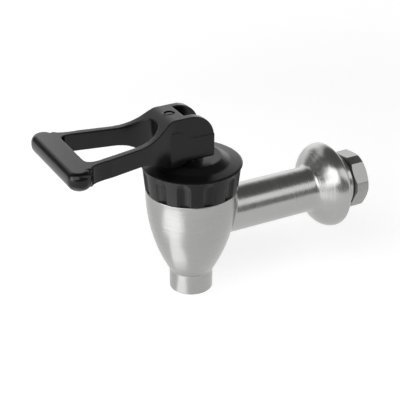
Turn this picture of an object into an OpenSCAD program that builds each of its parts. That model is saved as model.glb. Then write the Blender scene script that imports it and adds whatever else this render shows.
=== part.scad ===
// Boiler tap with a cam lever: a turned steel cup and shank, a fluted bonnet, a
// looped handle that lifts a sprung stem, and the fittings that hold it to a wall.
// The origin is the centre of the collar's wall face. The shank runs along Y,
// the cup hangs at -Y, and +Z is up.

/* [Cup] */
// Radius of the cup at its rim, under the bonnet
cup_rim_r = 16.4; // [15.5:0.1:17.5]
// Height of the bulged cup, from its rim down to the spout
cup_h = 32.7; // [31:0.1:36]
// Radius of the arc that the cup's side follows
cup_arc_r = 62.7; // [56:0.1:75]
// Wall of the cup where the chamber follows its side
cup_wall = 2.4; // [2:0.1:3]
// Radius of the straight chamber that holds the plug
chamber_r = 12.4; // [11.8:0.1:12.9]
// Radius of the neck's thread
neck_r = 14.4; // [14:0.1:14.8]

/* [Spout] */
// Outer radius of the spout
spout_r = 7.85; // [7.4:0.05:9]
// Length of the straight spout
spout_len = 7.6; // [5:0.1:20]
// Radius of the outlet through the spout
outlet_r = 5.8; // [5:0.1:6.2]
// Slope width of the conical seat round the outlet
seat_w = 2.5; // [1.8:0.1:2.8]

/* [Shank] */
// Distance from the wall face to the cup's axis
reach = 60.3; // [50:0.1:90]
// Depth of the shank's axis below the cup's rim
shank_drop = 12.7; // [11:0.1:15]
// Outer radius of the shank
shank_r = 8.5; // [7.8:0.1:9.5]
// Radius of the waterway through the shank
bore_r = 5.5; // [4:0.1:5.8]
// Outer radius of the shank's thread
thread_r = 7; // [6.6:0.1:7.4]
// Length of the thread that stands out behind the nut
thread_out = 0.8; // [0.5:0.1:30]

/* [Collar] */
// Largest radius of the collar
collar_r = 16; // [14.5:0.1:18]
// Length of the collar from the start of its flare to the wall face
collar_len = 12.9; // [11:0.1:18]
// Radius of the collar's flat wall face
face_r = 11.5; // [10.8:0.1:13]
// Radius of the collar's rounded front, which the flare runs into
bead_r = 3; // [2:0.1:4]

/* [Wall fittings] */
// Radius of the turned spacer
spacer_r = 10.3; // [9:0.1:11]
// Thickness of the turned spacer
spacer_t = 3.1; // [1:0.1:4]
// Radius of the rubber ring
seal_r = 9.9; // [9:0.1:11]
// Thickness of the rubber ring
seal_t = 0.9; // [0.5:0.1:2]
// Size of the nut across its flats
nut_af = 20.2; // [19:0.1:21]
// Thickness of the nut
nut_t = 6; // [4:0.1:8]
// Radius that the nut's corners are turned to
nut_corner_r = 10.8; // [10.5:0.1:11.2]
// Angle of the nut's flats about the shank
nut_turn = -16; // [-30:1:30]

/* [Bonnet] */
// Radius of the bonnet's thin lip
bonnet_r = 17.9; // [17.6:0.1:20]
// Height of the bonnet's skirt
bonnet_h = 10.2; // [9:0.1:12]
// Radius of the skirt at its foot
skirt_r = 16.5; // [16.3:0.1:17]
// Thickness of the lip
lip_t = 0.6; // [0.5:0.1:1.5]
// Thickness of the bonnet's roof
roof_t = 2; // [1.6:0.1:3]
// Rise of the roof from the lip to the hub
roof_rise = 0.7; // [0.3:0.1:1.6]
// Height of the hub above the lip
hub_h = 2.2; // [1.8:0.1:3.5]
// Number of flutes round the skirt
flute_count = 12; // [8:1:14]
// Width of a flute
flute_w = 4.9; // [3:0.1:5.4]
// Depth of a flute
flute_d = 0.8; // [0.4:0.1:1.1]
// Angle of the first flute
flute_turn = -7; // [-15:1:15]

/* [Handle] */
// Distance from the pin to the handle's front edge
handle_len = 52.8; // [48:0.1:70]
// Width across the two ears
ear_w = 13.9; // [13:0.1:16]
// Height of the ears above the pin
ear_h = 11; // [9.5:0.1:13]
// Distance from the pin to the back of the ears
ear_back = 5; // [4.8:0.1:7]
// Radius of the ears' rounded back
ear_round_r = 8.6; // [6:0.1:9]
// Depth of the ears' flat underside below the pin
ear_under = 4.8; // [3.5:0.1:5.5]
// Width of the slot between the ears
slot_w = 8.6; // [8.3:0.1:9.4]
// Distance from the pin to the front of the slot
slot_front = 5.35; // [5:0.05:6]
// How far the round cheeks stand out of the ears
cheek_t = 0.35; // [0.2:0.05:0.6]
// Height of the cheeks' band above the pin
cheek_h = 3.4; // [2:0.1:4.4]
// Width of the handle at the foot of its neck
neck_w = 19.8; // [18:0.1:24]
// Width of the loop where its rails meet the grip bar
loop_w = 26.4; // [24:0.1:34]
// Width of a rail
rail_w = 2.55; // [2:0.05:3.5]
// Thickness of a rail
rail_t = 6.5; // [6:0.1:7]
// Height of the loop's top face above the pin
loop_top = 5.3; // [4:0.1:7]
// Length of the grip bar
bar_w = 38.2; // [34:0.1:46]
// Depth of the grip bar from front to back
bar_d = 8.4; // [7:0.1:11]
// Depth of the grip bar's widest line below its top
bar_waist = 2.8; // [2:0.1:4]
// How far the rounding of the grip bar's top edge comes in
bar_top_in = 2; // [0.8:0.1:3]
// How far the rounding of the grip bar's lower edge comes in
bar_low_in = 2.5; // [0.8:0.1:3]
// Radius of the round recess on top of the ears
mark_r = 1.9; // [1:0.1:2.4]
// Distance from the pin to the middle of the round recess
mark_y = 8.7; // [8:0.1:9.5]

/* [Cam] */
// Distance from the pin to the line where the foot bears on the hub
cam_reach = 10.2; // [9.8:0.1:10.6]
// Height of the pin above the foot's lowest line at rest
cam_r = 6.6; // [6:0.1:7.5]
// Radius of the foot's heel, behind its lowest line
heel_r = 7.4; // [6.6:0.1:9]
// Angle that the handle is pressed down by
press_angle = 20; // [12:1:22]

/* [Stem and plug] */
// Radius of the stem
stem_r = 4; // [3.5:0.1:4.1]
// Radius of the handle's pin
pin_r = 1.5; // [1:0.1:1.8]
// Height of the stem's head above the pin
head_h = 4.2; // [3.5:0.1:6]
// Depth of the stem's shoulder below the shank's axis
shoulder_drop = -0.4; // [-1:0.1:0.5]
// Thickness of the washer under the spring
washer_t = 1; // [0.6:0.1:1.5]
// Radius of the washer under the spring
washer_r = 7.6; // [7.4:0.1:8]
// Outer radius of the plug
plug_r = 9.6; // [9.2:0.1:10]
// Wall of the plug's thin sleeve
sleeve_t = 1; // [0.8:0.1:1.3]
// Thickness of the plug's clamped flange
flange_t = 1.5; // [1:0.1:2]

/* [Spring] */
// Diameter of the spring's wire
wire_d = 1.4; // [1:0.1:1.6]
// Mean radius of the spring's coils
coil_r = 6.3; // [6:0.1:6.6]
// Number of turns that work
coil_turns = 4; // [3:0.5:5]

/* [Clearances] */
// Running gap of the stem in the bonnet and on the pin
run_gap = 0.06; // [0.03:0.01:0.1]
// Gap between the bonnet and what it screws on
screw_gap = 0.1; // [0.05:0.01:0.2]
// Gap between the handle's foot and the hub
cam_gap = 0.15; // [0.1:0.01:0.3]
// Gap between the plug and its seat
seat_gap = 0.1; // [0.05:0.01:0.2]
// Press gap of the pin in the ears
press_gap = 0.02; // [0.01:0.01:0.03]
// Gap at each end of the spring
coil_gap = 0.02; // [0.01:0.01:0.1]

/* [Hidden] */
$fn = 96;
// A cut runs this far past the face that it opens
over = 1;
// Small edge breaks on the turned parts
edge = 0.4;
thread_len = spacer_t + seal_t + nut_t + thread_out;

// Levels on the cup's axis
rim_z = shank_drop;
root_z = rim_z - cup_h;
tip_z = root_z - spout_len;
lip_z = rim_z + bonnet_h;
roof_z = lip_z - roof_t;
neck_z = roof_z - flange_t;
hub_z = lip_z + hub_h;
// The hub reaches out to the inner corners of the handle's foot
hub_r = norm([cam_reach, slot_w / 2]);
pin_z = hub_z + cam_gap + cam_r;

// The cup's side is an arc through its rim and its root, in radius and height
side_chord = sqrt(pow(cup_rim_r - spout_r, 2) + pow(cup_h, 2));
side_sag = sqrt(pow(cup_arc_r, 2) - pow(side_chord / 2, 2));
side_cr = (cup_rim_r + spout_r) / 2 - side_sag * cup_h / side_chord;
side_cz = (rim_z + root_z) / 2 + side_sag * (cup_rim_r - spout_r) / side_chord;
function side_r(z) = side_cr + sqrt(pow(cup_arc_r, 2) - pow(z - side_cz, 2));
function side_z(r) = side_cz - sqrt(pow(cup_arc_r, 2) - pow(r - side_cr, 2));

// The seat is a 45 degree cone that ends in a flat floor
seat_h = 5.6;
seat_z = root_z + seat_h;
floor_z = seat_z + seat_w;
// Height at which the chamber starts to follow the cup's side
taper_z = side_z(chamber_r + cup_wall);

// Levels of the stem and the plug
shoulder_z = -shoulder_drop;
plug_top_z = shoulder_z - washer_t;
barb_h = 3;
barb_drop = 3;
shaft_r = stem_r * 0.6;
barb_r = shaft_r + 0.9;
// The plug's nose stays just above the outlet
nose_r = outlet_r + 0.1;

// The loop's outline in the handle's own frame: x, and y forward of the pin
neck_front = 20.5;
neck_start = 10;
bar_r = bar_d / 2;
bar_back = handle_len - bar_d;
rail_end = bar_back - 8;
rail_z = loop_top - rail_t;
// Wall of the ear that the pin's blind hole stops short of
blind_wall = 1.2;
mark_depth = 0.3;

function arc(c, r, from, to, n) =
    [for (i = [0:n]) let (a = from + (to - from) * i / n) c + r * [cos(a), sin(a)]];

// A stretch of an ellipse with its axes along x and y
function oval(c, rx, ry, from, to, n) =
    [for (i = [0:n]) let (a = from + (to - from) * i / n) c + [rx * cos(a), ry * sin(a)]];

function bezier(a, b, c, d, n) =
    [for (i = [0:n]) let (t = i / n, s = 1 - t)
        s * s * s * a + 3 * s * s * t * b + 3 * s * t * t * c + t * t * t * d];

// A path on the +x side, closed by its own mirror image
function both_sides(path) =
    concat(path, [for (i = [len(path) - 1:-1:0]) [-path[i][0], path[i][1]]]);

module on_cup_axis() {
    translate([0, -reach, 0])
        children();
}

// Turns a solid of revolution about Z so that it lies along the shank
module along_shank(y) {
    translate([0, y, 0])
        rotate([-90, 0, 0])
            children();
}

// The handle's frame: the pin at the origin, the grip at -Y
module at_pin() {
    translate([0, -reach, pin_z])
        children();
}

function side_path(inset, from_z, to_z, n) =
    [for (i = [0:n]) let (z = from_z + (to_z - from_z) * i / n) [side_r(z) - inset, z]];

module cup_solid() {
    rotate_extrude()
        polygon(concat(
            [[0, tip_z], [spout_r - edge, tip_z], [spout_r, tip_z + edge]],
            side_path(0, root_z, rim_z - edge, 24),
            [[cup_rim_r - edge, rim_z], [neck_r, rim_z], [neck_r, neck_z - edge],
             [neck_r - edge, neck_z], [0, neck_z]]));
}

module chamber() {
    rotate_extrude()
        polygon(concat(
            [[0, tip_z - over], [outlet_r, tip_z - over], [outlet_r, seat_z],
             [outlet_r + seat_w, floor_z]],
            side_path(cup_wall, floor_z, taper_z, 10),
            [[chamber_r, neck_z + over], [0, neck_z + over]]));
}

// Flare, rounded nose and domed back of the collar, then the thread
module shank_solid() {
    start = -collar_len;
    flare_r = collar_r - bead_r - shank_r;
    flare = arc([shank_r + flare_r, start], flare_r, 180, 90, 10);
    nose = arc([collar_r - bead_r, start + flare_r + bead_r], bead_r, 285, 360, 5);
    dome_h = collar_len - flare_r - bead_r - edge;
    dome = [for (a = [15:15:90])
        [face_r + (collar_r - face_r) * cos(a), -edge - dome_h + dome_h * sin(a)]];
    along_shank(0)
        rotate_extrude()
            polygon(concat(
                [[0, -reach], [shank_r, -reach]], flare, nose, dome,
                [[face_r - edge, 0], [thread_r, 0], [thread_r, thread_len - edge],
                 [thread_r - edge, thread_len], [0, thread_len]]));
}

module tap_body() {
    color("silver")
        difference() {
            union() {
                on_cup_axis()
                    cup_solid();
                shank_solid();
            }
            on_cup_axis()
                chamber();
            along_shank(-reach)
                cylinder(r = bore_r, h = reach + thread_len + over);
        }
}

// A tall cutter with a domed top, sunk into the skirt along its slope
module flute() {
    cut_r = (pow(flute_w / 2, 2) + pow(flute_d, 2)) / (2 * flute_d);
    slope = atan((bonnet_r - edge - skirt_r) / (bonnet_h - lip_t));
    translate([bonnet_r - edge + cut_r - flute_d, 0, lip_z - lip_t - edge])
        rotate([0, slope, 0])
            rotate_extrude($fn = 64)
                polygon(concat(
                    [[0, -bonnet_h - over], [cut_r, -bonnet_h - over]],
                    arc([0, -flute_w / 2], cut_r, 0, 90, 10)));
}

module bonnet() {
    color("dimgray")
        on_cup_axis()
            difference() {
                rotate_extrude()
                    polygon([
                        [stem_r + run_gap, hub_z], [hub_r, hub_z],
                        [hub_r + edge / 2, lip_z + roof_rise], [bonnet_r - 2 * edge, lip_z],
                        [bonnet_r, lip_z - edge], [bonnet_r, lip_z - lip_t],
                        [bonnet_r - edge, lip_z - lip_t - edge / 2],
                        [skirt_r, rim_z + edge], [skirt_r - edge, rim_z + screw_gap],
                        [neck_r + screw_gap, rim_z + screw_gap], [neck_r + screw_gap, roof_z],
                        [stem_r + run_gap, roof_z]]);
                for (i = [0:flute_count - 1])
                    rotate(flute_turn + i * 360 / flute_count)
                        flute();
            }
}

// Clamped flange, thin sleeve and a conical plug that closes the outlet
module seat_cup() {
    wall_r = plug_r - sleeve_t;
    nose_top = outlet_r + seat_w - edge;
    lift = seat_gap * sqrt(2);
    barb_low = plug_top_z - barb_drop - barb_h;
    color("gainsboro")
        on_cup_axis()
            rotate_extrude()
                polygon([
                    [wall_r, roof_z], [neck_r - edge, roof_z], [neck_r - edge, neck_z],
                    [plug_r, neck_z], [plug_r, floor_z + 2],
                    [nose_top, floor_z - edge + lift], [nose_r, seat_z + lift + nose_r - outlet_r],
                    [0, seat_z + lift + nose_r - outlet_r], [0, barb_low - 1],
                    [barb_r, barb_low], [barb_r, barb_low + barb_h],
                    [shaft_r, barb_low + barb_h], [shaft_r, plug_top_z], [wall_r, plug_top_z]]);
}

// Height of the wire's centre after a number of turns, flat at both ends
function coil_z(turn, low, high) =
    let (pitch = wire_d * 1.08, total = coil_turns + 2, work = high - low - 2 * pitch)
    turn < 1 ? low + pitch * turn
    : turn > total - 1 ? high - pitch * (total - turn)
    : low + pitch + work * (turn - 1) / coil_turns;

module spring() {
    sides = 8;
    per_turn = 18;
    rings = per_turn * (coil_turns + 2);
    low = plug_top_z + washer_t + wire_d / 2 + coil_gap;
    high = roof_z - wire_d / 2 - coil_gap;
    points = [for (i = [0:rings], k = [0:sides - 1])
        let (turn = i / per_turn, a = 360 * turn, b = 360 * k / sides,
             r = coil_r + wire_d / 2 * cos(b))
        [r * cos(a), r * sin(a), coil_z(turn, low, high) + wire_d / 2 * sin(b)]];
    skin = [for (i = [0:rings - 1], k = [0:sides - 1])
        let (m = (k + 1) % sides)
        [i * sides + k, i * sides + m, (i + 1) * sides + m, (i + 1) * sides + k]];
    start_cap = [[for (k = [sides - 1:-1:0]) k]];
    end_cap = [[for (k = [0:sides - 1]) rings * sides + k]];
    color("lightsteelblue")
        on_cup_axis()
            polyhedron(points, concat(skin, start_cap, end_cap));
}

module stem() {
    head_z = pin_z + head_h;
    tip = plug_top_z - barb_drop - barb_h;
    color("silver")
        difference() {
            on_cup_axis()
                rotate_extrude()
                    polygon([
                        [0, tip - 0.5], [shaft_r, tip], [barb_r - 0.1, tip + barb_h - edge],
                        [barb_r - 0.1, tip + barb_h - 0.1], [shaft_r - 0.1, tip + barb_h - 0.1],
                        [shaft_r - 0.1, shoulder_z], [stem_r, shoulder_z],
                        [stem_r, head_z - 2 * edge], [stem_r - 2 * edge, head_z], [0, head_z]]);
            at_pin()
                translate([-stem_r - over, 0, 0])
                    rotate([0, 90, 0])
                        cylinder(r = pin_r + run_gap, h = 2 * (stem_r + over));
        }
}

module spring_washer() {
    color("silver")
        on_cup_axis()
            translate([0, 0, plug_top_z])
                difference() {
                    cylinder(r = washer_r, h = washer_t);
                    translate([0, 0, -over])
                        cylinder(r = shaft_r, h = washer_t + 2 * over);
                }
}

// The foot is the involute of a circle as wide as its reach. Seen from the pin,
// its lowest line then drops in step with the angle and stays at that reach.
function foot_point(a) =
    let (h = cam_r + cam_reach * a * PI / 180)
    [-h * sin(a) - cam_reach * cos(a), -h * cos(a) + cam_reach * sin(a)];

// Side view of the handle, as y and z from the pin, round from the ears' back
module handle_side() {
    foot_end = foot_point(2 * press_angle);
    heel_mid = [-cam_reach, heel_r - cam_r];
    heel_a = acos((heel_mid[1] + ear_under) / heel_r) - 12;
    heel_end = heel_mid + heel_r * [sin(heel_a), -cos(heel_a)];
    under_start = [heel_end[0] + 4, -ear_under];
    polygon(concat(
        arc([ear_back - ear_round_r, ear_h - ear_round_r], ear_round_r, 0, 90, 12),
        bezier([-neck_start, ear_h], [-neck_start - 3.5, ear_h],
               [-neck_start - 5.5, loop_top + 0.4], [-neck_start - 15, loop_top], 12),
        [[-bar_back - bar_r, loop_top], [-bar_back - bar_r, rail_z]],
        bezier([-neck_front - 5, rail_z], [-neck_front - 1, rail_z],
               foot_end + [-2.2, 1.6], foot_end, 8),
        [for (i = [9:-1:0]) foot_point(i * 2 * press_angle / 10)],
        arc(heel_mid, heel_r, 275, 270 + heel_a, 6),
        bezier(heel_end, heel_end + 1.4 * [cos(heel_a), sin(heel_a)],
               under_start - [1.6, 0], under_start, 6),
        [[ear_back - edge, -ear_under], [ear_back, -ear_under + edge]]));
}

// Plan of the ears, the neck and the rails, which spread into the grip bar
module handle_plan() {
    hw = ear_w / 2;
    nw = neck_w / 2;
    lw = loop_w / 2;
    bar_mid = [bar_w / 2 - bar_r, -bar_back - bar_r];
    join = bar_mid + bar_r * [sin(15), cos(15)];
    polygon(both_sides(concat(
        [[hw, ear_back + over]],
        bezier([hw, -neck_start], [hw + 0.25, -neck_start - 2.5],
               [nw - 0.9, -neck_front + 3.5], [nw, -neck_front], 8),
        bezier([lw, -rail_end], [lw + 0.3, -bar_back + 3.6],
               join + 1.6 * [-cos(15), sin(15)], join, 8),
        [bar_mid])));
}

// Half of the grip bar's section, as a distance from its middle and a height
module bar_section() {
    waist = loop_top - bar_waist;
    polygon(concat(
        [[0, rail_z]],
        oval([bar_r - bar_low_in, waist - 0.6], bar_low_in, waist - 0.6 - rail_z, 270, 360, 6),
        oval([bar_r - bar_top_in, waist], bar_top_in, bar_waist, 0, 90, 6),
        [[0, loop_top]]));
}

// The grip bar: a straight length with the same section turned round at each end
module grip_bar() {
    straight = bar_w - 2 * bar_r;
    translate([0, -handle_len + bar_r, 0]) {
        across(straight)
            union() {
                bar_section();
                mirror([1, 0])
                    bar_section();
            }
        for (side = [-1, 1])
            translate([side * straight / 2, 0, 0])
                rotate_extrude()
                    bar_section();
    }
}

// The finger hole, a rail's width inside the outline
module loop_hole() {
    nw = neck_w / 2 - rail_w;
    lw = loop_w / 2 - rail_w;
    front = -bar_back;
    polygon(both_sides(concat(
        bezier([0, -neck_start - 4], [nw * 0.6, -neck_start - 4],
               [nw - 0.8, -neck_front + 3.5], [nw, -neck_front], 10),
        bezier([lw + 0.5, front + 4], [lw + 0.7, front + 1.4], [lw - 0.2, front],
               [lw - 2.2, front], 6))));
}

// Lower part of each ear: a round cheek over the foot and the band behind it
module cheek_outline() {
    shoulder = [-cam_reach, 0] + cam_r * [cos(60), sin(60)];
    intersection() {
        handle_side();
        union() {
            translate([-cam_reach, 0])
                circle(r = cam_r);
            polygon(concat(
                bezier(shoulder, shoulder + 2 * [sin(60), -cos(60)],
                       [-3.8, cheek_h], [-2, cheek_h], 8),
                [[ear_back, cheek_h], [ear_back, -ear_under - over],
                 [-cam_reach, -ear_under - over], [-cam_reach, 0]]));
        }
    }
}

// Stands a side view, drawn as y and z, on the middle plane with a width along x
module across(w) {
    translate([-w / 2, 0, 0])
        rotate([90, 0, 90])
            linear_extrude(w)
                children();
}

// Slot for the stem, sloped at its front so that the stem clears it when pressed
module ear_slot() {
    top = ear_h + over;
    low = -cam_r - over;
    knee = -2.7;
    across(slot_w)
        polygon([
            [ear_back + over, top], [-slot_front, top], [-slot_front, knee],
            [-slot_front + (low - knee) * tan(press_angle), low], [ear_back + over, low]]);
}

module handle() {
    color("dimgray")
        at_pin()
            difference() {
                union() {
                    intersection() {
                        across(bar_w)
                            handle_side();
                        translate([0, 0, -cam_r - over])
                            linear_extrude(cam_r + ear_h + 2 * over)
                                handle_plan();
                    }
                    grip_bar();
                    across(ear_w + 2 * cheek_t)
                        cheek_outline();
                }
                translate([0, 0, -cam_r - over])
                    linear_extrude(cam_r + ear_h + 2 * over)
                        loop_hole();
                ear_slot();
                translate([-ear_w, 0, 0])
                    rotate([0, 90, 0])
                        cylinder(r = pin_r + press_gap, h = 1.5 * ear_w - blind_wall);
                translate([0, -mark_y, ear_h - mark_depth])
                    cylinder(r = mark_r, h = over);
            }
}

module handle_pin() {
    end = ear_w / 2 + cheek_t - press_gap;
    blind = ear_w / 2 - blind_wall - press_gap;
    color("silver")
        at_pin()
            translate([-end, 0, 0])
                rotate([0, 90, 0])
                    cylinder(r = pin_r, h = end + blind);
}

// A ring on the thread, with its two outer edges broken
module thread_ring(y, r, t) {
    along_shank(y)
        rotate_extrude()
            polygon([
                [thread_r + screw_gap, 0], [r - edge / 2, 0], [r, edge / 2],
                [r, t - edge / 2], [r - edge / 2, t], [thread_r + screw_gap, t]]);
}

module spacer_washer() {
    color("silver")
        thread_ring(0, spacer_r, spacer_t);
}

module sealing_ring() {
    color("black")
        thread_ring(spacer_t, seal_r, seal_t);
}

module hex_nut() {
    bevel = (nut_corner_r - nut_af / 2 + edge) * tan(30);
    flat_r = nut_af / 2 - edge;
    color("silver")
        along_shank(spacer_t + seal_t)
            difference() {
                intersection() {
                    rotate(nut_turn)
                        cylinder(r = nut_af / 2 / cos(30), h = nut_t, $fn = 6);
                    rotate_extrude()
                        polygon([
                            [0, 0], [flat_r, 0], [nut_corner_r, bevel],
                            [nut_corner_r, nut_t - bevel], [flat_r, nut_t], [0, nut_t]]);
                }
                translate([0, 0, -over])
                    cylinder(r = thread_r + screw_gap, h = nut_t + 2 * over);
            }
}

tap_body();
bonnet();
seat_cup();
spring();
stem();
spring_washer();
handle();
handle_pin();
spacer_washer();
sealing_ring();
hex_nut();
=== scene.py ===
from math import acos, cos, hypot, pi, radians, sin, sqrt, tan

import bmesh
import bpy
import numpy as np
from mathutils import Matrix, Vector


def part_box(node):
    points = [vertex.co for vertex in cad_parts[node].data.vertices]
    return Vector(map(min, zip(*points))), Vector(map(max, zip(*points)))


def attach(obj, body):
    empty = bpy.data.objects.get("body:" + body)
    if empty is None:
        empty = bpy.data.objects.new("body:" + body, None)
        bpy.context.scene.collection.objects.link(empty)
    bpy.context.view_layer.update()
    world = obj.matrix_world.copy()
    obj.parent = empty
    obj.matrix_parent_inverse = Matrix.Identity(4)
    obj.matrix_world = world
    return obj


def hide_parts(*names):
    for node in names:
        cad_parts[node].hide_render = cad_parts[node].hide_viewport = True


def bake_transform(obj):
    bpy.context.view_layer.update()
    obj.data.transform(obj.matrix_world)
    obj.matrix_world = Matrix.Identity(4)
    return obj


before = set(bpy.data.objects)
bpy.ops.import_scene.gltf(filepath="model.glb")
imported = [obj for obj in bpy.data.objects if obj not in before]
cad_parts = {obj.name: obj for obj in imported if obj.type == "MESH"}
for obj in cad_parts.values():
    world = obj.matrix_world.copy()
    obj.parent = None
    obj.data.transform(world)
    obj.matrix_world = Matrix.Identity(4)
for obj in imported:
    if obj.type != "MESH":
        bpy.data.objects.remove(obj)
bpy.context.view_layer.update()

MM = 0.001

# Places read from the frame; these and all the sizes below are in millimetres, and angles in degrees
bonnet_low, bonnet_high = (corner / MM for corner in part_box("bonnet"))
body_low, body_high = (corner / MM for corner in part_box("tap_body"))
nut_low, nut_high = (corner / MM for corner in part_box("hex_nut"))
spring_low, spring_high = (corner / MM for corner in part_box("spring"))
AXIS_Y = (bonnet_low.y + bonnet_high.y) / 2
SCREW_GAP = 0.1
RIM_Z = bonnet_low.z - SCREW_GAP
NECK_Z = body_high.z
TIP_Z = body_low.z
HUB_Z = bonnet_high.z
THREAD_END = body_high.y
HANDLE_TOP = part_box("handle")[1].z / MM

# Cup and spout
CUP_RIM_R = 16.4
CUP_H = 32.7
CUP_ARC_R = 62.7
CUP_WALL = 2.4
CHAMBER_R = 12.4
NECK_R = 14.4
SPOUT_R = 7.85
OUTLET_R = 5.8
SEAT_H = 5.6
SEAT_W = 2.5
ROOT_Z = RIM_Z - CUP_H
ROOT_EASE = 1.5
TIP_EASE = 0.4
RIM_EASE = 0.35
INNER_EASE = 0.3

# Shank, collar and thread
SHANK_R = 8.5
BORE_R = 5.5
BORE_EASE = 0.3
WELD_R = 1.3
WELD_LAP = 0.8
COLLAR_R = 16.0
COLLAR_LEN = 12.7
FLARE_R = 2.2
FLARE_STEEP = 56
CONE_STEEP = 50
CONE_LEN = 5.6
FACE_R = 11.5
FACE_EASE = 0.4
THREAD_R = 7.0
THREAD_D = 0.7
THREAD_PITCH = 1.25
SLEEVE_WALL = 0.6
SLEEVE_LAP = 0.1

# Nut, spacer and sealing ring on the thread
NUT_FLATS = 20.2
NUT_CORNER_R = 10.8
NUT_TURN = -6.0
NUT_CHAMFER = 30.0
NUT_FACE_EASE = 0.2
NUT_BORE_EASE = 0.5
NUT_EDGE = 0.12
RING_GAP = 0.1
RING_BORE_EASE = 0.2

# Bonnet
LIP_R = bonnet_high.x
LIP_Z = RIM_Z + 10.2
LIP_T = 0.6
LIP_STEP = 0.4
SKIRT_R = 16.5
ROOF_Z = LIP_Z - 2.0
ROOF_RISE = 0.5
HUB_TOP_R = 10.5
HUB_SLOPE_W = 2.9
HUB_HOLE_R = 4.06
FLUTE_COUNT = 12
FLUTE_W = 4.9
FLUTE_D = 1.0
FLUTE_TURN = -7.0
FLUTE_GAP = 0.4
FLUTE_EDGE = 0.03

# Handle and the round recess on its top
MARK_Y = AXIS_Y - 8.7
MARK_R = 1.9
MARK_D = 0.4
MARK_MIDDLE_R = 0.72 * MARK_R
MARK_MIDDLE_H = 0.22
PLUG_R = 2.4
VOXEL = 0.22
MOULD_EASE_STEPS = 4

# Spring
WIRE_D = 1.4
COIL_R = 6.3
COIL_TURNS = 6.0

# A radius near enough to zero on an axis, which keeps the faces there whole
TINY_R = 0.01


def link(data, name):
    """Wraps a mesh, a lamp or a camera in an object in the scene."""
    piece = bpy.data.objects.new(name, data)
    bpy.context.scene.collection.objects.link(piece)
    return piece


def finish_mesh(mesh, sharp_angle=32):
    """Merges doubles, turns the faces outwards and shades smooth up to an angle."""
    edit = bmesh.new()
    edit.from_mesh(mesh)
    bmesh.ops.remove_doubles(edit, verts=edit.verts, dist=1e-7)
    bmesh.ops.recalc_face_normals(edit, faces=edit.faces)
    edit.to_mesh(mesh)
    edit.free()
    mesh.shade_smooth()
    mesh.set_sharp_from_angle(angle=radians(sharp_angle))


def ring_solid(name, rings, sharp_angle=32):
    """A closed solid from rings of points, the last ring joined to the first."""
    rings = np.asarray(rings, float)
    count, steps = rings.shape[:2]
    row, col = np.meshgrid(np.arange(count), np.arange(steps), indexing="ij")
    next_row, next_col = (row + 1) % count, (col + 1) % steps
    corners = [row * steps + col, row * steps + next_col, next_row * steps + next_col, next_row * steps + col]
    faces = np.stack([c.ravel() for c in corners], -1)
    mesh = bpy.data.meshes.new(name)
    mesh.from_pydata((rings.reshape(-1, 3) * MM).tolist(), [], faces.tolist())
    finish_mesh(mesh, sharp_angle)
    return link(mesh, name)


def apply_modifiers(piece):
    """Turns the evaluated piece into a plain mesh."""
    graph = bpy.context.evaluated_depsgraph_get()
    mesh = bpy.data.meshes.new_from_object(piece.evaluated_get(graph))
    piece.modifiers.clear()
    piece.data = mesh


def cut_away(piece, cutter):
    """Takes a cutter out of a piece, and removes the cutter."""
    cut = piece.modifiers.new("cut", "BOOLEAN")
    cut.operation = "DIFFERENCE"
    cut.object = cutter
    apply_modifiers(piece)
    bpy.data.objects.remove(cutter)


def rounded(corners, steps=6):
    """A closed outline whose corners, given as (r, h, radius), are turned to their radius."""
    nearly_straight = 1.55
    longest_cut = 0.49
    outline = []
    for i, (x, y, radius) in enumerate(corners):
        corner = np.array([x, y])
        back = np.array(corners[i - 1][:2]) - corner
        ahead = np.array(corners[(i + 1) % len(corners)][:2]) - corner
        back_len, ahead_len = np.linalg.norm(back), np.linalg.norm(ahead)
        back, ahead = back / back_len, ahead / ahead_len
        half = acos(np.clip(back @ ahead, -1, 1)) / 2
        if radius == 0 or half > nearly_straight:
            outline.append(corner)
            continue
        cut = min(radius / tan(half), longest_cut * back_len, longest_cut * ahead_len)
        middle = corner + (back + ahead) / np.linalg.norm(back + ahead) * cut / cos(half)
        start = corner + back * cut - middle
        turn = np.sign(back[1] * ahead[0] - back[0] * ahead[1]) * (pi - 2 * half)
        for k in range(steps + 1):
            a = turn * k / steps
            outline.append(middle + [start[0] * cos(a) - start[1] * sin(a),
                                     start[0] * sin(a) + start[1] * cos(a)])
    return outline


def divided(outline, longest):
    """The same closed outline with no stretch longer than a given length."""
    result = []
    for here, there in zip(outline, outline[1:] + outline[:1]):
        parts = max(1, int(np.ceil(np.linalg.norm(np.subtract(there, here)) / longest)))
        result += [np.add(here, np.subtract(there, here) * k / parts) for k in range(parts)]
    return result


def turned(outline, steps):
    """Rings of a closed outline turned about Z."""
    a = np.arange(steps) * 2 * pi / steps
    return [np.stack([r * np.cos(a), r * np.sin(a), np.full(steps, h)], -1) for r, h in outline]


def onto_cup_axis(rings):
    """Moves rings from the origin onto the cup's axis."""
    return np.asarray(rings) + [0, AXIS_Y, 0]


def along_shank(rings):
    """Lays rings turned about Z along the shank, which is the Y axis."""
    rings = np.asarray(rings)
    return np.stack([rings[..., 0], rings[..., 2], -rings[..., 1]], -1)


def bend(middle, radius, start, end, steps):
    """Points of an arc in the plane of radius and height."""
    return [(middle[0] + radius * cos(radians(start + (end - start) * k / steps)),
             middle[1] + radius * sin(radians(start + (end - start) * k / steps)))
            for k in range(steps + 1)]


# The cup's side is an arc through its rim and its root, as radius and height
side_chord = hypot(CUP_RIM_R - SPOUT_R, CUP_H)
side_sag = sqrt(CUP_ARC_R ** 2 - (side_chord / 2) ** 2)
SIDE_R = (CUP_RIM_R + SPOUT_R) / 2 - side_sag * CUP_H / side_chord
SIDE_Z = (RIM_Z + ROOT_Z) / 2 + side_sag * (CUP_RIM_R - SPOUT_R) / side_chord


def side_r(z):
    """The cup's outer radius at a height."""
    return SIDE_R + sqrt(CUP_ARC_R ** 2 - (z - SIDE_Z) ** 2)


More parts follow.
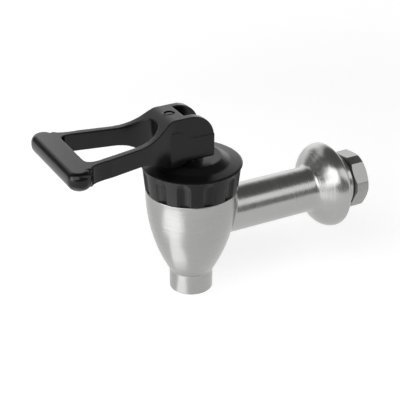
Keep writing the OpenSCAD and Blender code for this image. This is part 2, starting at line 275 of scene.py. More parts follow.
def make_cup():
    """The turned cup with its spout, neck, chamber and seat, opened towards the shank's bore."""
    floor_z = ROOT_Z + SEAT_H + SEAT_W
    taper_z = SIDE_Z - sqrt(CUP_ARC_R ** 2 - (CHAMBER_R + CUP_WALL - SIDE_R) ** 2)
    side = [(side_r(z), z, 0.0) for z in np.linspace(ROOT_Z, RIM_Z, 41)[1:-1]]
    inside = [(side_r(z) - CUP_WALL, z, 0.0) for z in np.linspace(taper_z, floor_z, 12)]
    corners = [(OUTLET_R, TIP_Z, INNER_EASE), (SPOUT_R, TIP_Z, TIP_EASE), (SPOUT_R, ROOT_Z, ROOT_EASE),
               *side,
               (CUP_RIM_R, RIM_Z, RIM_EASE), (NECK_R, RIM_Z, 0.0), (NECK_R, NECK_Z, INNER_EASE),
               (CHAMBER_R, NECK_Z, INNER_EASE),
               *inside,
               (OUTLET_R + SEAT_W, floor_z, 0.0), (OUTLET_R, ROOT_Z + SEAT_H, 0.0)]
    cup = ring_solid("cup", onto_cup_axis(turned(rounded(corners), 256)))
    bore_end = AXIS_Y + CUP_RIM_R + 2
    bore = [(TINY_R, AXIS_Y), (BORE_R, AXIS_Y), (BORE_R, bore_end), (TINY_R, bore_end)]
    cut_away(cup, ring_solid("bore_cutter", along_shank(turned(bore, 96))))
    return cup


def weld_rings(a):
    """Rings of the small round weld between the cup and the shank, from inside the cup's wall outwards.

    A ball of the weld's radius rolls round the shank and touches the cup. Its centre lies on both surfaces
    moved out by that radius, and each ring of the weld lies on the ball between its two contacts.
    """
    out = np.stack([np.cos(a), np.zeros_like(a), -np.sin(a)], -1)
    middle = out * (SHANK_R + WELD_R)
    reach = SIDE_R + np.sqrt((CUP_ARC_R + WELD_R) ** 2 - (middle[:, 2] - SIDE_Z) ** 2)
    middle[:, 1] = AXIS_Y + np.sqrt(reach ** 2 - middle[:, 0] ** 2)
    from_axis = middle - [0, AXIS_Y, 0]
    flat = np.hypot(from_axis[:, 0], from_axis[:, 1])
    lean = (flat - SIDE_R) / flat
    normal = np.stack([from_axis[:, 0] * lean, from_axis[:, 1] * lean, middle[:, 2] - SIDE_Z], -1)
    normal /= CUP_ARC_R + WELD_R
    between = np.arccos((out * normal).sum(1))[:, None]
    rings = [middle - normal * (WELD_R + WELD_LAP)]
    for t in np.linspace(0, 1, 9):
        toward = (np.sin((1 - t) * between) * normal + np.sin(t * between) * out) / np.sin(between)
        rings.append(middle - toward * WELD_R)
    return rings


def make_shank(steps=256):
    """The shank with its weld, flared collar and thread core, round the bore."""
    # The flare leaves the shank, a shallow cone follows it, and a bead and a dome close the collar
    outline = bend((SHANK_R + FLARE_R, -COLLAR_LEN), FLARE_R, 180, 180 - FLARE_STEEP, 12)
    cone_r = CONE_LEN / radians(FLARE_STEEP - CONE_STEEP)
    start, a = outline[-1], radians(FLARE_STEEP)
    outline += bend((start[0] - cone_r * cos(a), start[1] + cone_r * sin(a)), cone_r,
                    -FLARE_STEEP, -CONE_STEEP, 10)[1:]
    start, a = outline[-1], radians(CONE_STEEP)
    bead_r = (COLLAR_R - start[0]) / (1 - cos(a))
    bead_y = start[1] + bead_r * sin(a)
    outline += bend((COLLAR_R - bead_r, bead_y), bead_r, -CONE_STEEP, 0, 16)[1:]
    outline += [(FACE_R + (COLLAR_R - FACE_R) * cos(t), bead_y - (bead_y + FACE_EASE) * sin(t))
                for t in np.linspace(0, pi / 2, 14)[1:]]
    outline += [(FACE_R - 0.3 * FACE_EASE, -0.3 * FACE_EASE), (FACE_R - FACE_EASE, 0)]
    # The core ends just inside the thread's sleeve
    core_r = THREAD_R - THREAD_D - SLEEVE_LAP
    core_end = THREAD_END - SLEEVE_LAP
    outline += [(core_r, 0), (core_r, core_end), (BORE_R + BORE_EASE, core_end)]
    outline += [(BORE_R, y) for y in np.linspace(core_end - BORE_EASE, AXIS_Y + CUP_RIM_R, 12)]
    weld = weld_rings(np.arange(steps) * 2 * pi / steps)
    flare_start = along_shank(turned([(SHANK_R, -COLLAR_LEN)], steps))[0]
    tube = [weld[-1] + (flare_start - weld[-1]) * t for t in np.linspace(0, 1, 12)[1:-1]]
    body = along_shank(turned(outline, steps))
    inner = along_shank(turned([(BORE_R, 0)], steps))[0]
    inner[:, 1] = weld[0][:, 1]
    return ring_solid("shank", [*weld, *tube, *body, inner])


# Geometry Nodes

def new_tree(name, inputs):
    """A Geometry Nodes tree with a geometry input, named number inputs and a geometry output."""
    tree = bpy.data.node_groups.new(name, "GeometryNodeTree")
    tree.interface.new_socket("Geometry", in_out="INPUT", socket_type="NodeSocketGeometry")
    for label, value in inputs.items():
        kind = "NodeSocketInt" if isinstance(value, int) else "NodeSocketFloat"
        socket = tree.interface.new_socket(label, in_out="INPUT", socket_type=kind)
        socket.default_value = value
    tree.interface.new_socket("Material", in_out="INPUT", socket_type="NodeSocketMaterial")
    tree.interface.new_socket("Geometry", in_out="OUTPUT", socket_type="NodeSocketGeometry")
    return tree


def node(tree, kind, links=None, **settings):
    """Adds a node, sets its properties and feeds its sockets with values or other nodes' sockets."""
    made = tree.nodes.new(kind)
    for key, value in settings.items():
        setattr(made, key, value)
    for socket, value in (links or {}).items():
        if isinstance(value, bpy.types.NodeSocket):
            tree.links.new(value, made.inputs[socket])
        else:
            made.inputs[socket].default_value = value
    return made


def calc(tree, operation, *values):
    """One step of arithmetic on numbers or sockets."""
    return node(tree, "ShaderNodeMath", dict(enumerate(values)), operation=operation).outputs[0]


def times(tree, first, second):
    """The product of two numbers or sockets."""
    return calc(tree, "MULTIPLY", first, second)


def plus(tree, first, second):
    """The sum of two numbers or sockets."""
    return calc(tree, "ADD", first, second)


def minus(tree, first, second):
    """The difference of two numbers or sockets."""
    return calc(tree, "SUBTRACT", first, second)


def length(tree, first, second):
    """The length of a flat vector from its two parts."""
    return calc(tree, "SQRT", plus(tree, times(tree, first, first), times(tree, second, second)))


def own_place(tree):
    """The x, y and z of the point that a tree works on."""
    here = node(tree, "GeometryNodeInputPosition").outputs[0]
    place = node(tree, "ShaderNodeSeparateXYZ", {0: here}).outputs
    return place["X"], place["Y"], place["Z"]


def put_points(tree, geometry, x, y, z):
    """Moves every point of a geometry to a new place."""
    place = node(tree, "ShaderNodeCombineXYZ", {"X": x, "Y": y, "Z": z}).outputs[0]
    return node(tree, "GeometryNodeSetPosition", {"Geometry": geometry, "Position": place}).outputs[0]


def close_tree(tree, geometry, material):
    """Ends a tree in Realize Instances and Set Material."""
    real = node(tree, "GeometryNodeRealizeInstances", {0: geometry})
    made = node(tree, "GeometryNodeSetMaterial", {"Geometry": real.outputs[0], "Material": material})
    node(tree, "NodeGroupOutput", {0: made.outputs[0]})


def run_tree(piece, tree, material, **values):
    """Runs a tree on a piece with its inputs set by identifier, and keeps the result as a plain mesh."""
    modifier = piece.modifiers.new(tree.name, "NODES")
    modifier.node_group = tree
    for item in tree.interface.items_tree:
        if item.in_out == "INPUT" and item.name in values:
            modifier[item.identifier] = values[item.name]
        if item.in_out == "INPUT" and item.name == "Material":
            modifier[item.identifier] = material
    apply_modifiers(piece)


def flute_tree():
    """Pulls a turned skirt inwards wherever a ring of upright round cutters with domed tops would cut it.

    The cutters stand outside the skirt, lean with it and reach in by the flute's depth. A point keeps the
    smaller of its own radius and the cutter's near side, with the edge between the two eased a little.
    """
    tree = new_tree("skirt_flutes", {"Count": 12, "Cutter radius": 0.004, "Depth": 0.0008, "Turn": 0.0,
                                     "Dome height": 0.02, "Skirt radius": 0.017, "Slope": 0.1,
                                     "Axis Y": 0.0, "Edge": 0.0001})
    given = tree.nodes.new("NodeGroupInput").outputs
    cutter_r = given["Cutter radius"]
    x, y, z = own_place(tree)
    y = minus(tree, y, given["Axis Y"])
    radius = length(tree, x, y)
    # The angle off the middle of the nearest flute
    half_pitch = times(tree, calc(tree, "DIVIDE", 2 * pi, given["Count"]), 0.5)
    angle = minus(tree, calc(tree, "ARCTAN2", y, x), given["Turn"])
    off = calc(tree, "WRAP", angle, half_pitch, times(tree, half_pitch, -1.0))
    # The cutter's radius at this height, and how far out it stands there
    above = calc(tree, "MAXIMUM", minus(tree, z, given["Dome height"]), 0.0)
    cut_r2 = minus(tree, times(tree, cutter_r, cutter_r), times(tree, above, above))
    lean = times(tree, minus(tree, z, given["Dome height"]), given["Slope"])
    skirt = plus(tree, given["Skirt radius"], lean)
    stand = plus(tree, skirt, minus(tree, cutter_r, given["Depth"]))
    # The cutter's near side along the point's own direction
    side = times(tree, stand, calc(tree, "SINE", off))
    depth2 = calc(tree, "MAXIMUM", minus(tree, cut_r2, times(tree, side, side)), 0.0)
    near = minus(tree, times(tree, stand, calc(tree, "COSINE", off)), calc(tree, "SQRT", depth2))
    eased = calc(tree, "SMOOTH_MIN", radius, near, given["Edge"])
    scale = calc(tree, "DIVIDE", eased, radius)
    shaped = put_points(tree, given["Geometry"], times(tree, x, scale),
                        plus(tree, times(tree, y, scale), given["Axis Y"]), z)
    close_tree(tree, shaped, given["Material"])
    return tree


def thread_tree():
    """Raises a right-handed thread on a plain core that lies along Y, with its last turn cut by a chamfer."""
    ridge_foot, ridge_top = 0.1, 0.85
    just_inside = 0.99
    tree = new_tree("wall_thread", {"Pitch": 0.00125, "Depth": 0.0007, "Core radius": 0.0063, "End": 0.0108})
    given = tree.nodes.new("NodeGroupInput").outputs
    x, y, z = own_place(tree)
    radius = length(tree, x, z)
    turn = calc(tree, "DIVIDE", calc(tree, "ARCTAN2", times(tree, z, -1.0), x), 2 * pi)
    phase = calc(tree, "FRACT", minus(tree, calc(tree, "DIVIDE", y, given["Pitch"]), turn))
    side = times(tree, calc(tree, "ABSOLUTE", minus(tree, phase, 0.5)), 2.0)
    ridge = node(tree, "ShaderNodeMapRange", {"Value": side, "From Min": ridge_foot, "From Max": ridge_top})
    crest = times(tree, ridge.outputs[0], given["Depth"])
    chamfer = calc(tree, "MAXIMUM", minus(tree, given["End"], y), 0.0)
    height = calc(tree, "MINIMUM", crest, chamfer)
    outside = calc(tree, "GREATER_THAN", radius, times(tree, given["Core radius"], just_inside))
    scale = plus(tree, 1.0, times(tree, outside, calc(tree, "DIVIDE", height, radius)))
    shaped = put_points(tree, given["Geometry"], times(tree, x, scale), y, times(tree, z, scale))
    close_tree(tree, shaped, given["Material"])
    return tree


def coil_tree():
    """Winds a round wire into a spring on an upright axis, with its first and last turns laid flat."""
    flat_rise_share = 2.16
    wire_sides = 14
    tree = new_tree("coil_spring", {"Turns": 6.0, "Coil radius": 0.0063, "Wire radius": 0.0007,
                                    "Bottom": 0.0, "Top": 0.02, "Axis Y": 0.0, "Steps": 360})
    given = tree.nodes.new("NodeGroupInput").outputs
    turns, wire_r, coil_r = given["Turns"], given["Wire radius"], given["Coil radius"]
    line = node(tree, "GeometryNodeCurvePrimitiveLine")
    points = node(tree, "GeometryNodeResampleCurve", {"Curve": line.outputs[0], "Count": given["Steps"]})
    turn = times(tree, node(tree, "GeometryNodeSplineParameter").outputs["Factor"], turns)
    left = minus(tree, turns, turn)
    angle = times(tree, turn, 2 * pi)
    # Heights of the wire in its flat foot, in its working turns and in its flat head
    flat_rise = times(tree, wire_r, flat_rise_share)
    low = plus(tree, given["Bottom"], wire_r)
    high = minus(tree, given["Top"], wire_r)
    foot = plus(tree, low, times(tree, turn, flat_rise))
    head = minus(tree, high, times(tree, left, flat_rise))
    work = node(tree, "ShaderNodeMapRange", {
        "Value": turn, "From Min": 1.0, "From Max": minus(tree, turns, 1.0),
        "To Min": plus(tree, low, flat_rise), "To Max": minus(tree, high, flat_rise)}).outputs[0]
    first = calc(tree, "LESS_THAN", turn, 1.0)
    last = calc(tree, "LESS_THAN", left, 1.0)
    middle = minus(tree, minus(tree, 1.0, first), last)
    height = plus(tree, times(tree, first, foot),
                  plus(tree, times(tree, last, head), times(tree, middle, work)))
    wound = put_points(tree, points.outputs[0], times(tree, calc(tree, "COSINE", angle), coil_r),
                       plus(tree, times(tree, calc(tree, "SINE", angle), coil_r), given["Axis Y"]), height)
    wire = node(tree, "GeometryNodeCurvePrimitiveCircle", {"Resolution": wire_sides, "Radius": wire_r})
    swept = node(tree, "GeometryNodeCurveToMesh", {
        "Curve": wound, "Profile Curve": wire.outputs[0], "Fill Caps": True})
    close_tree(tree, swept.outputs[0], given["Material"])
    return tree


def make_thread(material):
    """The wall thread, raised on a sleeve round the shank's core."""
    core_r = THREAD_R - THREAD_D
    outline = [(core_r, y) for y in np.linspace(0, THREAD_END, 109)]
    outline += [(core_r - SLEEVE_WALL, THREAD_END), (core_r - SLEEVE_WALL, 0)]
    thread = ring_solid("thread", along_shank(turned(outline, 144)), 50)
    run_tree(thread, thread_tree(), material, **{
        "Pitch": THREAD_PITCH * MM, "Depth": THREAD_D * MM, "Core radius": core_r * MM,
        "End": THREAD_END * MM})
    return thread


def make_spring(material):
    """The coil spring between the washer on the stem and the bonnet's roof."""
    spring = link(bpy.data.meshes.new("coil_spring"), "coil_spring")
    run_tree(spring, coil_tree(), material, **{
        "Turns": COIL_TURNS, "Coil radius": COIL_R * MM, "Wire radius": WIRE_D / 2 * MM,
        "Bottom": spring_low.z * MM, "Top": spring_high.z * MM, "Axis Y": AXIS_Y * MM})
    finish_mesh(spring.data, 60)
    return spring


def make_ring(name, of_node, ease, material):
    """A plain ring on the thread with its edges eased."""
    low, high = (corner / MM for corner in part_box(of_node))
    bore_r = THREAD_R + RING_GAP
    corners = [(bore_r, low.y, RING_BORE_EASE), (high.x, low.y, ease),
               (high.x, high.y, ease), (bore_r, high.y, RING_BORE_EASE)]
    ring = ring_solid(name, along_shank(turned(divided(rounded(corners, 5), 0.4), 192)))
    ring.data.materials.append(material)
    return ring


def make_nut(material):
    """The hexagon nut, its corners turned round and both faces chamfered."""
    flat_r = NUT_FLATS / 2
    half = acos(flat_r / NUT_CORNER_R)
    face_r = flat_r - NUT_FACE_EASE
    across_flat = np.linspace(-half, half, 17)[:-1]
    round_corner = np.linspace(half, pi / 3 - half, 7)[:-1]
    angles, outer = [], []
    for side in range(6):
        middle = radians(NUT_TURN + 30 + 60 * side)
        for off in np.concatenate([across_flat, round_corner]):
            angles.append(middle + off)
            outer.append(min(flat_r / abs(cos(off)), NUT_CORNER_R) if off <= half else NUT_CORNER_R)
    angles, outer = np.array(angles), np.array(outer)
    drop = (outer - face_r) * tan(radians(NUT_CHAMFER))
    bore_r = THREAD_R + RING_GAP
    low, high = nut_low.y, nut_high.y
    ease = NUT_BORE_EASE
    rows = [(bore_r, low + ease), (bore_r + ease, low), (face_r, low), (outer, low + drop),
            (outer, high - drop), (face_r, high), (bore_r + ease, high), (bore_r, high - ease)]
    rings = [np.stack([r * np.cos(angles), r * np.sin(angles), np.zeros_like(angles) + y], -1)
             for r, y in rows]
    nut = ring_solid("wall_nut", along_shank(rings), 12)
    bevel = nut.modifiers.new("eased_edges", "BEVEL")
    bevel.width = NUT_EDGE * MM
    bevel.segments = 2
    bevel.limit_method = "ANGLE"
    bevel.angle_limit = radians(14)
    bevel.harden_normals = True
    apply_modifiers(nut)
    nut.data.materials.append(material)
    return nut


def make_bonnet(material):
    """The screwed cap: a turned cap with a thin lip, fluted round its skirt."""
    foot_z = RIM_Z + SCREW_GAP
    inner_r = NECK_R + SCREW_GAP
    under_lip = LIP_Z - LIP_T
    skirt_top_r = LIP_R - LIP_STEP
    # Radius, height and easing of each corner, from the hub's hole over the lip and the skirt to the roof
    corners = [(HUB_HOLE_R, ROOF_Z, 0), (HUB_HOLE_R, HUB_Z, 0.25), (HUB_TOP_R, HUB_Z, 1.6),
               (HUB_TOP_R + HUB_SLOPE_W, LIP_Z + ROOF_RISE, 2.2),
               (LIP_R - 0.55, LIP_Z + 0.02, 0.5), (LIP_R, LIP_Z - 0.35, 0.3),
               (LIP_R, under_lip, 0.15), (skirt_top_r, under_lip - 0.15, 0.12),
               (SKIRT_R, foot_z + 0.15, 0.2), (SKIRT_R - 0.25, foot_z, 0.1),
               (inner_r, foot_z, 0), (inner_r, ROOF_Z, 0)]
    rings = turned(divided(rounded(corners, 4), 0.45), 384)
    bonnet = ring_solid("bonnet_cap", onto_cup_axis(rings), 40)
    cutter_r = ((FLUTE_W / 2) ** 2 + FLUTE_D ** 2) / (2 * FLUTE_D)
    slope = (skirt_top_r - SKIRT_R) / (under_lip - RIM_Z)
    dome_z = under_lip - FLUTE_GAP - FLUTE_W / 2
    dome_skirt_r = SKIRT_R + slope * (dome_z - RIM_Z)
    run_tree(bonnet, flute_tree(), material, **{
        "Count": FLUTE_COUNT, "Cutter radius": cutter_r * MM, "Depth": FLUTE_D * MM,
        "Turn": radians(FLUTE_TURN), "Dome height": dome_z * MM, "Skirt radius": dome_skirt_r * MM,
        "Slope": slope, "Axis Y": AXIS_Y * MM, "Edge": FLUTE_EDGE * MM})
    return bonnet


# Materials

# A noise texture keeps mostly between these two values
NOISE_LOW, NOISE_HIGH = 0.3, 0.7
STEEL_BLUE = 0.985
FINE_GRAIN = 4200.0


def new_material(name, base, metallic, roughness):
    """A Principled material with its plain numbers set on the shader's own sockets."""
    material = bpy.data.materials.new(name)
    material.use_nodes = True
    shader = material.node_tree.nodes["Principled BSDF"]
    shader.inputs["Base Color"].default_value = (*base, 1)
    shader.inputs["Metallic"].default_value = metallic
    shader.inputs["Roughness"].default_value = roughness
    return material, material.node_tree, shader


def ranged(tree, value, low, high, start=0.0, end=1.0):
    """Maps a value from start and end to low and high."""
    mapped = node(tree, "ShaderNodeMapRange", {"Value": value, "From Min": start, "From Max": end,
                                               "To Min": low, "To Max": high})
    return mapped.outputs[0]


def spread(tree, noise, low, high):
    """Maps a noise to low and high."""
    return ranged(tree, noise, low, high, NOISE_LOW, NOISE_HIGH)


def cloudy(tree, place, scale, detail):
    """A noise texture's value at a place."""
    noise = node(tree, "ShaderNodeTexNoise", {"Vector": place, "Scale": scale, "Detail": detail})
    return noise.outputs["Fac"]


def vector(tree, operation, *values):
    """One step of arithmetic on vectors or sockets."""
    return node(tree, "ShaderNodeVectorMath", dict(enumerate(values)), operation=operation).outputs[0]


def measure(tree, operation, *values):
    """A number worked out from vectors or sockets."""
    return node(tree, "ShaderNodeVectorMath", dict(enumerate(values)), operation=operation).outputs["Value"]


def scaled(tree, of_vector, factor):
    """A vector times a number."""
    return node(tree, "ShaderNodeVectorMath", {0: of_vector, "Scale": factor}, operation="SCALE").outputs[0]


def vary_roughness(tree, shader, roughness, first, second):
    """Adds two small variations to the roughness."""
    both = plus(tree, first, second)
    tree.links.new(plus(tree, both, roughness), shader.inputs["Roughness"])


def vary_steel(tree, shader, shade):
    """Colours steel with a varying grey that is a touch warm."""
    colour = node(tree, "ShaderNodeCombineColor", {"Red": shade, "Green": shade,
                                                   "Blue": times(tree, shade, STEEL_BLUE)})
    tree.links.new(colour.outputs[0], shader.inputs["Base Color"])


def raise_grain(tree, shader, grain, strength, depth):
    """Raises a grain by a bump of a given depth."""
    bump = node(tree, "ShaderNodeBump", {"Height": grain, "Strength": strength, "Distance": depth * MM})
    tree.links.new(bump.outputs[0], shader.inputs["Normal"])


def turned_steel(name, centre, axis, base=0.36, roughness=0.24, groove=0.8):
    """Steel turned about an axis: fine grooves run round it and spread a highlight across them.

    The pattern reads the direction round the axis, the distance from it and the height along it, so the
    grooves run round on the sides and on the end faces alike, with no seam. The finest grooves tilt the
    surface across their run. Wider, fainter ones and a slow cloud vary the colour and the polish.
    """
    material, tree, shader = new_material(name, (base, base, base * STEEL_BLUE), 1.0, roughness)
    axis = Vector(axis)
    place = node(tree, "ShaderNodeTexCoord").outputs["Object"]
    local = vector(tree, "SUBTRACT", place, centre)
    height = measure(tree, "DOT_PRODUCT", local, axis)
    flat = vector(tree, "SUBTRACT", local, scaled(tree, axis, height))
    radius = measure(tree, "LENGTH", flat)
    outward = vector(tree, "NORMALIZE", flat)

    def grooves(per_mm, round_it):
        """A noise that is long round the axis and short across the grooves."""
        level = scaled(tree, axis, times(tree, height, per_mm / MM))
        return node(tree, "ShaderNodeTexNoise", {
            "Vector": vector(tree, "ADD", scaled(tree, outward, round_it), level),
            "W": times(tree, radius, per_mm / MM),
            "Scale": 1.0, "Detail": 2.0, "Roughness": 0.6}, noise_dimensions="4D").outputs["Fac"]

    fine = grooves(14.0, 1.2)
    wide = grooves(5.0, 2.0)
    cloud = cloudy(tree, local, 130.0, 2.0)
    vary_roughness(tree, shader, roughness,
                   spread(tree, wide, -0.03, 0.03), spread(tree, cloud, -0.03, 0.03))
    vary_steel(tree, shader, spread(tree, wide, base * 0.95, base * 1.05))
    surface = node(tree, "ShaderNodeNewGeometry").outputs["Normal"]
    across = vector(tree, "CROSS_PRODUCT", surface, vector(tree, "CROSS_PRODUCT", tuple(axis), outward))
    tilt = times(tree, minus(tree, fine, 0.5), groove)
    tilted = vector(tree, "ADD", surface, scaled(tree, across, tilt))
    tree.links.new(vector(tree, "NORMALIZE", tilted), shader.inputs["Normal"])
    return material


def plain_steel(name, base=0.4, roughness=0.26):
    """Milled or drawn steel with an even fine grain."""
    material, tree, shader = new_material(name, (base, base, base * STEEL_BLUE), 1.0, roughness)
    place = node(tree, "ShaderNodeTexCoord").outputs["Object"]
    grain = cloudy(tree, place, FINE_GRAIN, 2.0)
    cloud = cloudy(tree, place, 260.0, 3.0)
    vary_roughness(tree, shader, roughness,
                   spread(tree, grain, -0.03, 0.03), spread(tree, cloud, -0.05, 0.05))
    vary_steel(tree, shader, spread(tree, cloud, base * 0.93, base * 1.05))
    raise_grain(tree, shader, grain, 0.2, 0.02)
    return material


def satin_plastic(name, base=0.002, roughness=0.19, specular=0.25, grain_strength=0.1):
    """Black moulded plastic with a fine spark-eroded grain and slightly uneven gloss."""
    material, tree, shader = new_material(name, (base, base, base * 1.05), 0.0, roughness)
    shader.inputs["Specular IOR Level"].default_value = specular
    place = node(tree, "ShaderNodeTexCoord").outputs["Object"]
    grain = cloudy(tree, place, FINE_GRAIN, 2.0)
    cloud = cloudy(tree, place, 160.0, 3.0)
    vary_roughness(tree, shader, roughness,
                   spread(tree, grain, -0.04, 0.04), spread(tree, cloud, -0.04, 0.04))
    raise_grain(tree, shader, grain, grain_strength, 0.03)
    return material


def soft_material(name, base, roughness):
    """Rubber or silicone with a fine even grain."""
    material, tree, shader = new_material(name, base, 0.0, roughness)
    place = node(tree, "ShaderNodeTexCoord").outputs["Object"]
    grain = cloudy(tree, place, 2600.0, 3.0)
    tree.links.new(spread(tree, grain, roughness - 0.06, roughness + 0.06), shader.inputs["Roughness"])
    raise_grain(tree, shader, grain, 0.2, 0.04)
    return material


UPRIGHT = (0.0, 0.0, 1.0)
ALONG_SHANK = (0.0, 1.0, 0.0)
CUP_CENTRE = (0.0, AXIS_Y * MM, 0.0)
# The cup's steel is a shade darker than the shank's, which is painted shade on the same steel
shaded_cup_steel = turned_steel("shaded_cup_steel", CUP_CENTRE, UPRIGHT, base=0.32)
shank_steel = turned_steel("shank_steel", (0, 0, 0), ALONG_SHANK)
ring_steel = turned_steel("ring_steel", (0, 0, 0), ALONG_SHANK, groove=0.5)
stem_steel = turned_steel("stem_steel", CUP_CENTRE, UPRIGHT, groove=0.5)
nut_steel = plain_steel("nut_steel", base=0.29, roughness=0.31)
wire_steel = plain_steel("wire_steel", roughness=0.3)
handle_plastic = satin_plastic("handle_plastic")
bonnet_plastic = satin_plastic("bonnet_plastic", base=0.003, roughness=0.31, specular=0.235)
ring_rubber = soft_material("ring_rubber", (0.02, 0.02, 0.02), 0.7)
milky_silicone = soft_material("milky_silicone", (0.78, 0.76, 0.70), 0.45)


# Camera, light and floor

AIM = Vector((0, -35, 5)) * MM
FLOOR_Z = TIP_Z - 14
PANEL_Z = FLOOR_Z + 1
WHITE = (1, 1, 1, 1)


def make_camera():
    """The photo's view: a long lens from the right and above, aimed just right of the cup."""
    azimuth, elevation, roll = radians(61.11), radians(28.11), radians(0.53)
    distance = 418.7 * MM
    target = Vector((7.02, -60.70, 10.73)) * MM
    ahead = Vector((-sin(azimuth) * cos(elevation), cos(azimuth) * cos(elevation), -sin(elevation)))
    level = Vector((cos(azimuth), sin(azimuth), 0))
    raised = level.cross(ahead)
    right = level * cos(roll) + raised * sin(roll)
    up = raised * cos(roll) - level * sin(roll)
    data = bpy.data.cameras.new("camera")
    data.lens = 108.0
    data.sensor_width = 36.0
    data.clip_start = 0.01
    camera = link(data, "camera")
    turn = Matrix((right, up, -ahead)).transposed().to_4x4()
    camera.matrix_world = Matrix.Translation(target - ahead * distance) @ turn
    bpy.context.scene.camera = camera


def area_lamp(name, across, along, radiance):
    """A rectangular lamp of a given size in metres, whose face shines with a given radiance."""
    data = bpy.data.lights.new(name, "AREA")
    data.shape = "RECTANGLE"
    data.size, data.size_y = across, along
    data.energy = radiance * pi * data.size * data.size_y
    return link(data, name)


def softbox(name, azimuth, elevation, across, upward, roll, radiance, distance=0.65):
    """A rectangular soft light that faces the tap, placed and sized by angles as the tap sees it."""
    azimuth, elevation, roll = radians(azimuth), radians(elevation), radians(roll)
    away = Vector((cos(azimuth) * cos(elevation), sin(azimuth) * cos(elevation), sin(elevation)))
    level = Vector((0, 0, 1)).cross(away).normalized()
    right = level * cos(roll) + away.cross(level) * sin(roll)
    lamp = area_lamp(name, 2 * distance * tan(radians(across / 2)), 2 * distance * tan(radians(upward / 2)),
                     radiance)
    turn = Matrix((right, away.cross(right), away)).transposed().to_4x4()
    lamp.matrix_world = Matrix.Translation(AIM + away * distance) @ turn


def floor_panel(name, azimuth, reach, width, depth, radiance):
    """A panel of light that lies on the floor in front of the cup and shines up, as bright floor would."""
    lamp = area_lamp(name, width, depth, radiance)
    lamp.visible_camera = False
    bearing = radians(azimuth)
    middle = Vector((0, AXIS_Y, PANEL_Z)) * MM + Vector((cos(bearing), sin(bearing), 0)) * reach
    turn = Matrix.Rotation(bearing + pi / 2, 4, "Z") @ Matrix.Rotation(pi, 4, "Y")
    lamp.matrix_world = Matrix.Translation(middle) @ turn


def seen_directly(tree):
    """One for rays from the camera and for rays mirrored or let through by the tap, else zero."""
    rays = node(tree, "ShaderNodeLightPath").outputs
    seen = plus(tree, rays["Is Camera Ray"], rays["Is Glossy Ray"])
    return calc(tree, "MINIMUM", plus(tree, seen, rays["Is Transmission Ray"]), 1.0)


def make_world():
    """A dim studio with one white backdrop, on the side that the camera faces.

    The camera sees plain white all round. The steel and the plastic mirror the backdrop and the dim room.
    """
    toward_backdrop = (-0.93, 0.37, 0)
    backdrop_sides = 0.68, 0.86
    backdrop_top = 0.38, 0.7
    backdrop_glow = 1.4
    unseen_share = 0.7
    room_below, room_above, room_fade = 0.3, 0.16, (0.2, 0.6)
    world = bpy.data.worlds.new("studio")
    bpy.context.scene.world = world
    world.use_nodes = True
    tree = world.node_tree
    tree.nodes.clear()
    direction = node(tree, "ShaderNodeTexCoord").outputs["Generated"]
    height = node(tree, "ShaderNodeSeparateXYZ", {0: direction}).outputs["Z"]
    facing = measure(tree, "DOT_PRODUCT", direction, toward_backdrop)
    backdrop = times(tree, ranged(tree, facing, 0.0, 1.0, *backdrop_sides),
                     ranged(tree, height, 1.0, 0.0, *backdrop_top))
    shown = times(tree, backdrop, ranged(tree, seen_directly(tree), unseen_share, 1.0))
    room = plus(tree, ranged(tree, height, room_below, room_above, *room_fade),
                times(tree, shown, backdrop_glow))
    dim = node(tree, "ShaderNodeBackground", {"Color": WHITE, "Strength": room})
    white = node(tree, "ShaderNodeBackground", {"Color": WHITE, "Strength": 1.0})
    from_camera = node(tree, "ShaderNodeLightPath").outputs["Is Camera Ray"]
    mixed = node(tree, "ShaderNodeMixShader", {0: from_camera, 1: dim.outputs[0], 2: white.outputs[0]})
    node(tree, "ShaderNodeOutputWorld", {"Surface": mixed.outputs[0]})


def make_floor():
    """A wide pale floor below the spout that keeps the tap's soft shadow and is clear from beneath."""
    half = 3.0
    glow_near, glow_far, glow_fade = 0.44, 0.84, (0.2, 0.7)
    level = FLOOR_Z * MM
    mesh = bpy.data.meshes.new("floor")
    mesh.from_pydata([(-half, -half, level), (half, -half, level), (half, half, level), (-half, half, level)],
                     [], [(0, 1, 2, 3)])
    floor = link(mesh, "floor")
    material, tree, shader = new_material("pale_floor", (0.8, 0.8, 0.8), 0.0, 0.9)
    place = node(tree, "ShaderNodeTexCoord").outputs["Object"]
    away = measure(tree, "LENGTH", place)
    glow = times(tree, seen_directly(tree), ranged(tree, away, glow_near, glow_far, *glow_fade))
    shader.inputs["Emission Color"].default_value = WHITE
    tree.links.new(glow, shader.inputs["Emission Strength"])
    under = node(tree, "ShaderNodeNewGeometry").outputs["Backfacing"]
    clear = node(tree, "ShaderNodeBsdfTransparent").outputs[0]
    seen = node(tree, "ShaderNodeMixShader", {0: under, 1: shader.outputs[0], 2: clear})
    tree.links.new(seen.outputs[0], tree.nodes["Material Output"].inputs["Surface"])
    mesh.materials.append(material)


make_camera()
make_world()
make_floor()
softbox("front_softbox", 291, 27, across=74, upward=40, roll=30, radiance=3.1)
softbox("low_softbox", 267, 11, across=24, upward=28, roll=0, radiance=2.2)
softbox("side_softbox", 42, 35, across=84, upward=26, roll=-35, radiance=1.5)
softbox("back_softbox", 194, 40, across=50, upward=24, roll=0, radiance=0.85)
floor_panel("near_floor_panel", 286, reach=0.034, width=0.024, depth=0.034, radiance=1.1)
floor_panel("far_floor_panel", 286, reach=0.085, width=0.066, depth=0.068, radiance=1.6)

bpy.context.scene.view_settings.view_transform = "Standard"


# Pieces

def place(piece, body, slot, *nodes):
    """Puts a finished piece on its body and hides the frame's parts that it stands in for; the slot is not
    used.
    """
    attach(piece, body)
    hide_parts(*nodes)


def stretch(piece, start_z, end_z, slot, *nodes):
    """Bakes a piece's placement into its mesh and hides the frame's parts that it stands in for; the heights
    and the slot are not used.
    """
    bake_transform(piece)
    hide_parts(*nodes)


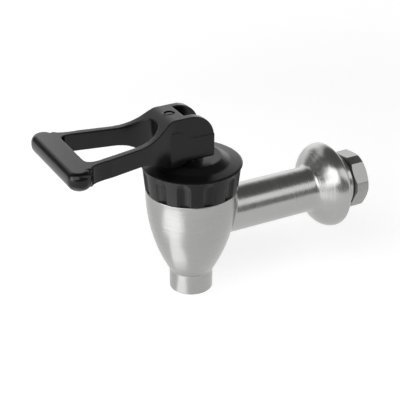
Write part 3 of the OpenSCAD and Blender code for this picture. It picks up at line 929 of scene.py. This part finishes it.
def joined(name, *parts):
    """One object out of several, with a material slot for each part."""
    edit = bmesh.new()
    mesh = bpy.data.meshes.new(name)
    for index, (part, material) in enumerate(parts):
        first = len(edit.faces)
        edit.from_mesh(part.data)
        edit.faces.ensure_lookup_table()
        for face in edit.faces[first:]:
            face.material_index = index
        mesh.materials.append(material)
        bpy.data.objects.remove(part)
    edit.to_mesh(mesh)
    edit.free()
    return link(mesh, name)


def solid_copy(name, of_node, material):
    """A merged copy of a solid of the frame."""
    piece = link(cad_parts[of_node].data.copy(), name)
    finish_mesh(piece.data)
    piece.data.materials.clear()
    piece.data.materials.append(material)
    return piece


def mark_solid(name, outline):
    """A solid turned about the upright axis of the handle's round recess."""
    return ring_solid(name, np.asarray(turned(outline, 64)) + [0, MARK_Y, 0])


def make_mark_tools():
    """A plug that fills the solid's recess, and a cutter that gives it a crisp rim and a raised middle."""
    top, floor = HANDLE_TOP, HANDLE_TOP - MARK_D
    plug = mark_solid("plug", [(TINY_R, top - 1), (TINY_R, top), (PLUG_R, top), (PLUG_R, top - 1)])
    middle = [(MARK_MIDDLE_R * sin(t), floor + MARK_MIDDLE_H * cos(t)) for t in np.linspace(0.02, pi / 2, 7)]
    outline = [(middle[0][0], top + 1), *middle, (MARK_R, floor), (MARK_R, top + 1)]
    return plug, mark_solid("mark_cutter", outline)


def make_handle(material):
    """The moulded handle: the frame's solid with its edges eased as a mould leaves them."""
    solid = solid_copy("handle_solid", "handle", material)
    plug, mark_cutter = make_mark_tools()
    solid = joined("handle_solid", (solid, material), (plug, material))
    handle = link(solid.data.copy(), "cam_handle")
    even = handle.modifiers.new("even", "REMESH")
    even.mode = "VOXEL"
    even.voxel_size = VOXEL * MM
    even.use_smooth_shade = True
    snap = handle.modifiers.new("snap", "SHRINKWRAP")
    snap.target = solid
    ease = handle.modifiers.new("ease", "SMOOTH")
    ease.factor = 0.5
    ease.iterations = MOULD_EASE_STEPS
    apply_modifiers(handle)
    cut_away(handle, mark_cutter)
    bpy.data.objects.remove(solid)
    handle.data.materials.clear()
    handle.data.materials.append(material)
    handle.data.shade_smooth()
    handle.data.set_sharp_from_angle(angle=radians(50))
    return handle


cup = make_cup()
shank = make_shank()
thread = make_thread(shank_steel)
tap = joined("tap_shell", (cup, shaded_cup_steel), (shank, shank_steel), (thread, shank_steel))
place(tap, "body", "body_steel", "tap_body")
place(make_bonnet(bonnet_plastic), "body", "black_plastic", "bonnet")
place(make_handle(handle_plastic), "handle", "black_plastic", "handle")
place(make_ring("spacer_ring", "spacer_washer", 0.35, ring_steel), "body", "turned_steel", "spacer_washer")
place(make_ring("rubber_ring", "sealing_ring", 0.3, ring_rubber), "body", "black_rubber", "sealing_ring")
place(make_nut(nut_steel), "body", "turned_steel", "hex_nut")
stretch(make_spring(wire_steel), spring_high.z, spring_low.z, "spring_wire", "spring")
stretch(solid_copy("seat_seal", "seat_cup", milky_silicone), NECK_Z, 0, "silicone", "seat_cup")

for name in ("stem", "spring_washer", "handle_pin"):
    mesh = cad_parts[name].data
    mesh.materials.clear()
    mesh.materials.append(stem_steel)
